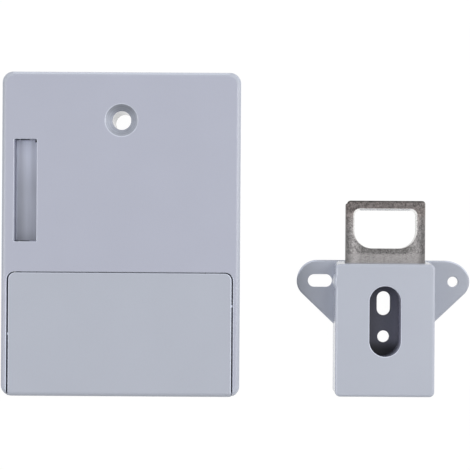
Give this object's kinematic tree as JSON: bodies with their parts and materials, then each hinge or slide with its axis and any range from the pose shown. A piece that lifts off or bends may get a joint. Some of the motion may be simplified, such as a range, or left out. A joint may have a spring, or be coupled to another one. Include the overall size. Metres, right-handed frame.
{
  "type": "electronic cabinet lock",
  "caption": "Grey plastic electronic cabinet lock with a strike slot, a countersunk screw hole and a sliding battery cover, beside its eared strike with a steel eye tongue.",
  "frame": {"origin": "centre of the lock's flat back face, which lies against the inside of a door or drawer front", "axes": "+X from the lock towards the strike, +Y from the battery cover towards the screw hole, +Z out of the lock's front face"},
  "size_m": [0.1642, 0.1122, 0.023],
  "materials": {
    "case_grey": "fine satin moulding, pale blue-grey",
    "charcoal_plastic": "plain moulding",
    "nickel_steel": "nickel plate over stamped steel",
    "zinc_steel": "bright zinc plate",
    "white_nylon": "natural nylon",
    "brass": "machined brass",
    "copper": "enamelled copper winding",
    "board_green": "solder mask on glass laminate",
    "black_plastic": "black component moulding",
    "red_insulation": "soft wire insulation",
    "black_insulation": "soft wire insulation",
    "grey_foam": "soft foam pad",
    "cell_wrap": "plain printed film on a steel can"
  },
  "bodies": {
    "lock": {"front_case": "case_grey", "back_cover": "case_grey", "case_screw_1": "zinc_steel", "case_screw_2": "zinc_steel", "case_screw_3": "zinc_steel", "case_screw_4": "zinc_steel", "slot_chute": "case_grey", "shutter_spring": "zinc_steel", "motor_gearbox": "brass", "motor_can": "zinc_steel", "motor_clamp": "zinc_steel", "bolt_guide": "white_nylon", "guide_screw_1": "zinc_steel", "guide_screw_2": "zinc_steel", "guide_screw_3": "zinc_steel", "bolt_keeper": "zinc_steel", "limit_switch": "black_plastic", "battery_tray": "charcoal_plastic", "battery_cell_1": "cell_wrap", "battery_cell_2": "cell_wrap", "battery_cell_3": "cell_wrap", "battery_cell_4": "cell_wrap", "contact_spring_1": "nickel_steel", "contact_spring_2": "nickel_steel", "contact_spring_3": "nickel_steel", "contact_spring_4": "nickel_steel", "contact_plate_1": "nickel_steel", "contact_plate_2": "nickel_steel", "contact_plate_3": "nickel_steel", "contact_plate_4": "nickel_steel", "contact_plate_5": "nickel_steel", "circuit_board": "board_green", "board_screw_1": "zinc_steel", "board_screw_2": "zinc_steel", "controller_chip": "black_plastic", "radio_chip": "black_plastic", "buzzer": "black_plastic", "power_capacitor": "zinc_steel", "lead_socket": "white_nylon", "setup_switch": "black_plastic", "antenna_coil": "copper", "motor_lead_red": "red_insulation", "motor_lead_black": "black_insulation", "battery_lead_red": "red_insulation", "battery_lead_black": "black_insulation"},
    "cover": {"battery_cover": "case_grey", "cover_foam": "grey_foam"},
    "shutter": {"slot_shutter": "case_grey", "shutter_pin": "zinc_steel"},
    "bolt": {"latch_bolt": "zinc_steel"},
    "drive": {"drive_pinion": "brass", "motor_shaft": "zinc_steel"},
    "button": {"setup_button": "white_nylon"},
    "strike": {"strike_housing": "case_grey", "strike_base": "charcoal_plastic", "strike_tongue": "nickel_steel", "strike_screw_1": "zinc_steel", "strike_screw_2": "zinc_steel"}
  },
  "joints": [
    {"name": "cover_slide", "type": "slide", "parent": "lock", "child": "cover", "axis": [0, -1, 0], "range_m": [0, 0.046]},
    {"name": "shutter_swing", "type": "hinge", "parent": "lock", "child": "shutter", "pos_m": [-0.0357, 0.01505, 0.0162], "axis": [0, 1, 0], "range_deg": [0, 90], "stiffness_Nm_per_rad": 0.004, "springref_deg": -28.65},
    {"name": "bolt_throw", "type": "slide", "parent": "lock", "child": "bolt", "axis": [-1, 0, 0], "range_m": [0, 0.0054]},
    {"name": "pinion_spin", "type": "hinge", "parent": "lock", "child": "drive", "pos_m": [-0.014, 0.01505, 0.00833], "axis": [0, -1, 0], "range_deg": [0, 104]},
    {"name": "button_press", "type": "slide", "parent": "lock", "child": "button", "axis": [0, 0, -1], "range_m": [0, 0.0007], "stiffness_N_per_m": 1500, "springref_m": -0.0003},
    {"name": "strike_slide", "type": "slide", "parent": "lock", "child": "strike", "axis": [1, 0, 0], "range_m": [-0.015, 0.05]}
  ],
  "couplings": [
    {"joint": "pinion_spin", "follows": "bolt_throw", "rad_per_m": 333.33}
  ]
}
